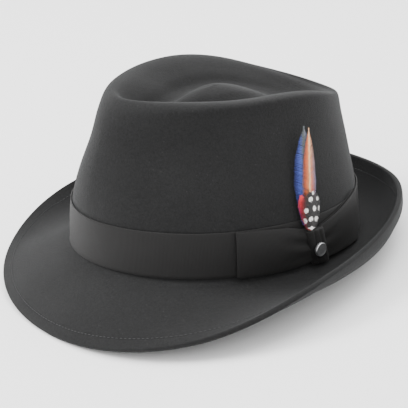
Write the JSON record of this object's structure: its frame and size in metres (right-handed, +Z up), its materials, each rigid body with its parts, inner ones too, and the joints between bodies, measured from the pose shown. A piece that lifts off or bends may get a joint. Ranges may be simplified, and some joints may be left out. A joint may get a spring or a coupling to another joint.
{
  "type": "trilby",
  "caption": "Felt trilby with a teardrop crown, a snapped-down front brim, a ribbon band with a flat bow, a round pin and a feather trim.",
  "frame": {"origin": "middle of the hat's box on the surface that it rests on", "axes": "+Z up, the front of the hat towards -Y, the bow and feathers on +X, the wearer's left; the hat stands as it rests by itself, its front raised by about 8 degrees"},
  "size_m": [0.2698, 0.2894, 0.1376],
  "materials": {
    "felt": "black wool felt with a short fuzzy nap",
    "ribbon": "black ribbed grosgrain ribbon, slightly glossy",
    "pin_metal": "satin grey metal",
    "feather_blue": "dyed blue feather",
    "feather_orange": "dyed orange feather with brown streaks and a pale quill",
    "feather_red": "dyed red downy feather",
    "feather_spotted": "black feather with round white spots"
  },
  "bodies": {
    "root": {"felt_body": "felt", "hat_band": "ribbon", "bow_front_loop": "ribbon", "bow_rear_loop": "ribbon", "bow_knot": "ribbon", "pin": "pin_metal", "feather_blue": "feather_blue", "feather_orange": "feather_orange", "feather_red_tuft": "feather_red", "feather_spotted": "feather_spotted"}
  },
  "joints": []
}
